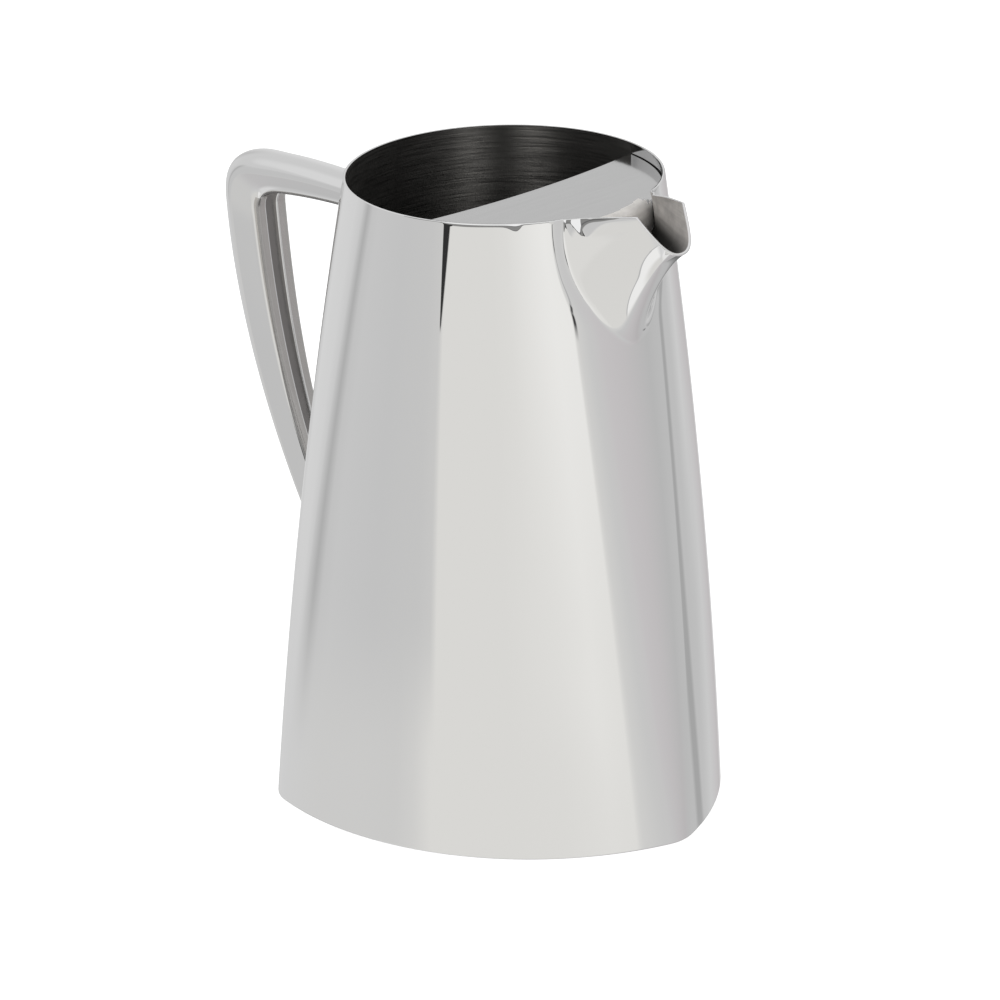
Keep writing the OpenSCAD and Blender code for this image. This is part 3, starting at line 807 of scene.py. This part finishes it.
def studio():
    world = bpy.data.worlds.new("studio")
    scene.world = world
    world.use_nodes = True
    tree = world.node_tree
    background = tree.nodes["Background"]
    coord = tree.nodes.new("ShaderNodeTexCoord")
    turn = tree.nodes.new("ShaderNodeVectorRotate")
    turn.rotation_type = "Z_AXIS"
    turn.inputs["Angle"].default_value = -FACING
    tree.links.new(coord.outputs["Generated"], turn.inputs["Vector"])
    xyz = tree.nodes.new("ShaderNodeSeparateXYZ")
    tree.links.new(turn.outputs[0], xyz.inputs[0])

    def calc(op, *values):
        return math_node(tree, op, *values)

    def mix(fac, a, b):
        m = tree.nodes.new("ShaderNodeMix")
        m.data_type = "RGBA"
        tree.links.new(fac, m.inputs[0])
        for socket, x in ((m.inputs[6], a), (m.inputs[7], b)):
            if isinstance(x, tuple):
                socket.default_value = x
            else:
                tree.links.new(x, socket)
        return m.outputs[2]

    def both(*factors):
        out = factors[0]
        for f in factors[1:]:
            out = calc("MULTIPLY", out, f)
        return out

    def after(value, low, high, smooth=False):
        """0 up to low, 1 from high on."""
        return map_range(tree, value, low, high, 0, 1, smooth)

    def before(value, low, high, smooth=False):
        """1 up to low, 0 from high on."""
        return map_range(tree, value, low, high, 1, 0, smooth)

    def within(value, low, high, soft):
        return both(after(value, low - soft, low + soft), before(value, high - soft, high + soft))

    def line(offset, half):
        """1 on the line where offset is 0, fading to 0 over its half width."""
        return before(calc("ABSOLUTE", offset), half * 0.4, half)

    def panels(stops):
        stops = [(degrees, tone(value, warm)) for degrees, value, warm in stops]
        return color_ramp(tree, share_of_turn(tree, around), stops, "LINEAR")

    around = calc("ARCTAN2", xyz.outputs[1], xyz.outputs[0])
    degrees = calc("MULTIPLY", around, 180 / math.pi)
    rise = calc("MULTIPLY", calc("ARCSINE", xyz.outputs[2]), 180 / math.pi)

    color = mix(after(rise, -21, -16, True), panels(LOW), panels(HIGH))
    # the near panel glows towards its upper right
    glow = map_range(tree, degrees, 0, 26, 0, 0.8)
    color = mix(both(glow, after(rise, -15, -6), within(degrees, 0, NEAR_RIGHT, 0.6)), color, tone(233, 2))
    # a slanted dark stand at the right
    level = calc("SUBTRACT", rise, STAND_LEVEL)
    stand = calc("MULTIPLY_ADD", calc("MULTIPLY", level, level), STAND_CURVE, STAND_AT)
    slant = calc("SUBTRACT", degrees, stand)
    color = mix(both(line(slant, 3.6), within(rise, -25.5, 3, 2)), color, tone(163))
    # the room behind the camera, seen over the near panel's upper edge, and the light above it
    over = calc("SUBTRACT", rise, calc("MULTIPLY_ADD", degrees, BROW_TILT, BROW))
    front = within(degrees, NEAR_LEFT, NEAR_RIGHT, 0.4)
    color = mix(both(after(over, 0, 0.5), front), color, tone(ROOM, 1))
    color = mix(both(line(calc("SUBTRACT", over, 0.5), 0.7), front), color, tone(ROOM_LINE))
    color = mix(both(line(calc("SUBTRACT", over, ROOM_HEIGHT - 0.5), 1.3), front), color, tone(80))
    color = mix(both(after(over, ROOM_HEIGHT, ROOM_HEIGHT + 1), front), color, tone(236))
    beside = both(within(degrees, BESIDE_LEFT, NEAR_LEFT, 0.4), within(rise, BESIDE_LOW, BESIDE_HIGH, 1))
    color = mix(beside, color, tone(ROOM_SIDE, 1))
    color = mix(both(line(calc("SUBTRACT", rise, 9), 2.5), beside), color, tone(ROOM_LINE))
    # the dark gap between the near panel and the one beside it
    past = calc("SUBTRACT", degrees, NEAR_LEFT - 0.5)
    room = calc("MULTIPLY_ADD", calc("SUBTRACT", rise, GAP_LOW + 0.1), GAP_OPENING, 1.2)
    gap = both(after(past, 0, 0.3), after(calc("SUBTRACT", room, past), 0, 0.6),
               within(rise, GAP_LOW, GAP_HIGH, 0.1), before(past, GAP_WIDTH - 0.2, GAP_WIDTH + 0.2))
    color = mix(gap, color, tone(48))
    # a thin cable on the near panel's right edge
    bend = calc("MAXIMUM", calc("SUBTRACT", rise, CABLE_TURN), 0.0)
    cable = calc("SUBTRACT", degrees, calc("MULTIPLY_ADD", bend, CABLE_LEAN, CABLE_AT))
    color = mix(both(line(cable, 1.2), within(rise, -5.5, CABLE_TURN, 0.3)), color, tone(60))
    color = mix(both(line(cable, 0.9), within(rise, CABLE_TURN, -3.1, 0.2)), color, tone(80))
    color = mix(both(line(cable, 0.7), within(rise, -3.1, -0.3, 0.2)), color, tone(172))
    # a small dark thing at the far right, low down
    thing = line(calc("SUBTRACT", degrees, 128.6), 3)
    color = mix(both(thing, within(rise, -30, -25.8, 0.6)), color, tone(80))
    # overhead light
    elsewhere = calc("SUBTRACT", 1.0, calc("ADD", front, beside))
    color = mix(both(after(rise, 8, 24, True), elsewhere), color, tone(205))
    color = mix(after(rise, 30, 40, True), color, tone(217))
    # below: the shade under the table's edge, darkest at the far left
    color = mix(before(rise, TABLE_LOW, TABLE_HIGH, True), color, panels(UNDER))
    color = mix(both(before(rise, -26, -24.6), before(degrees, -156, -150)), color, tone(95))
    # below the left side, a paler stretch
    paler = both(before(rise, -50, -42), after(degrees, -125, -112), before(degrees, -82, -70))
    color = mix(paler, color, tone(216))
    # below the front, a bright strip with a thin line along its edge
    aside = calc("SUBTRACT", degrees, BRINK_AT)
    curve = calc("SQRT", calc("MULTIPLY_ADD", aside, aside, BRINK_ROUND))
    brink = calc("SUBTRACT", rise, calc("MULTIPLY_ADD", curve, BRINK_TILT, BRINK))
    strip = both(before(degrees, 30, 42, True), after(degrees, -75, -66), after(rise, -79, -70, True))
    color = mix(both(before(brink, -0.3, 0.1), strip), color, tone(234, 1))
    color = mix(both(line(brink, 0.9), strip), color, tone(178))
    tree.links.new(color, background.inputs[0])
    background.inputs[1].default_value = 1.0


studio()

FLOOR = 3.0   # m from the middle to each side
floor_mesh = bpy.data.meshes.new("floor")
sides = [(x * FLOOR, y * FLOOR, 0) for x, y in ((-1, -1), (1, -1), (1, 1), (-1, 1))]
floor_mesh.from_pydata(sides, [], [(0, 1, 2, 3)])
floor = bpy.data.objects.new("floor", floor_mesh)
scene.collection.objects.link(floor)
pale = bpy.data.materials.new("pale_floor")
pale.use_nodes = True
shader = pale.node_tree.nodes["Principled BSDF"]
shader.inputs["Base Color"].default_value = (0.9, 0.9, 0.9, 1)
shader.inputs["Roughness"].default_value = 0.9
shader.inputs["Emission Color"].default_value = (1, 1, 1, 1)
shader.inputs["Emission Strength"].default_value = 0.6
floor_mesh.materials.append(pale)
floor.visible_glossy = False   # the steel mirrors the world's own lower half

# The photo's camera, from the fit to the pitcher's outline: angles, then distance and aim in metres
AZIMUTH, ELEVATION, TILT = math.radians(46.803), math.radians(22.244), math.radians(-1.165)
DISTANCE, AIM_RIGHT, AIM_HEIGHT = 1.404835, -0.003085, 0.097943
LENS, SENSOR, SHIFT_X, SHIFT_Y = 157.84, 36, -0.0005, -0.0085
camera_data = bpy.data.cameras.new("camera")
camera = bpy.data.objects.new("camera", camera_data)
scene.collection.objects.link(camera)
scene.camera = camera
level = Vector((math.sin(AZIMUTH), -math.cos(AZIMUTH), 0))
back = level * math.cos(ELEVATION) + Vector((0, 0, math.sin(ELEVATION)))
right = Vector((math.cos(AZIMUTH), math.sin(AZIMUTH), 0))
above = back.cross(right)
x_axis = right * math.cos(TILT) + above * math.sin(TILT)
y_axis = above * math.cos(TILT) - right * math.sin(TILT)
place = right * AIM_RIGHT + Vector((0, 0, AIM_HEIGHT)) + back * DISTANCE
camera.matrix_world = Matrix.Translation(place) @ Matrix((x_axis, y_axis, back)).transposed().to_4x4()
camera_data.sensor_width = SENSOR
camera_data.lens = LENS
camera_data.shift_x, camera_data.shift_y = SHIFT_X, SHIFT_Y
camera_data.clip_end = 20
